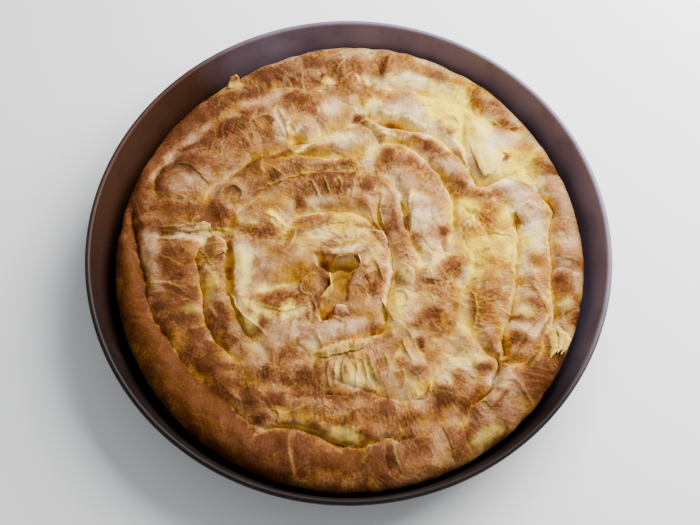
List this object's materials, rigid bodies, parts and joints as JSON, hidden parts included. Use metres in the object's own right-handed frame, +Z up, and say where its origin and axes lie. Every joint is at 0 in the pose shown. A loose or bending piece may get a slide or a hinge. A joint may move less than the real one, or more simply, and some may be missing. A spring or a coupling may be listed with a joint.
{
  "type": "cheese banitsa in a round baking tray",
  "caption": "Round coiled cheese pastry of rolled filo ropes, baked golden, sitting in its shallow dark metal baking tray with leaning walls.",
  "frame": {"origin": "centre of the tray's flat underside, on the surface it stands on", "axes": "+Z up out of the tray, -Y towards the viewer, +X to the viewer's right"},
  "size_m": [0.36, 0.36, 0.046],
  "materials": {
    "baked_filo": "thin baked dough sheets, golden with browned crests, lightly glossy with butter",
    "coated_tray": "dark brown non-stick coating on pressed sheet steel, satin"
  },
  "bodies": {
    "root": {"tray": "coated_tray", "roll_back": "baked_filo", "roll_right": "baked_filo", "roll_front": "baked_filo", "roll_upper_left": "baked_filo", "roll_upper_right": "baked_filo", "roll_lower_right": "baked_filo", "roll_lower_left": "baked_filo", "roll_mid_left": "baked_filo", "roll_mid_back": "baked_filo", "roll_mid_right": "baked_filo", "roll_mid_front": "baked_filo", "roll_second": "baked_filo", "roll_inner": "baked_filo", "roll_core": "baked_filo", "roll_tail": "baked_filo"}
  },
  "joints": []
}
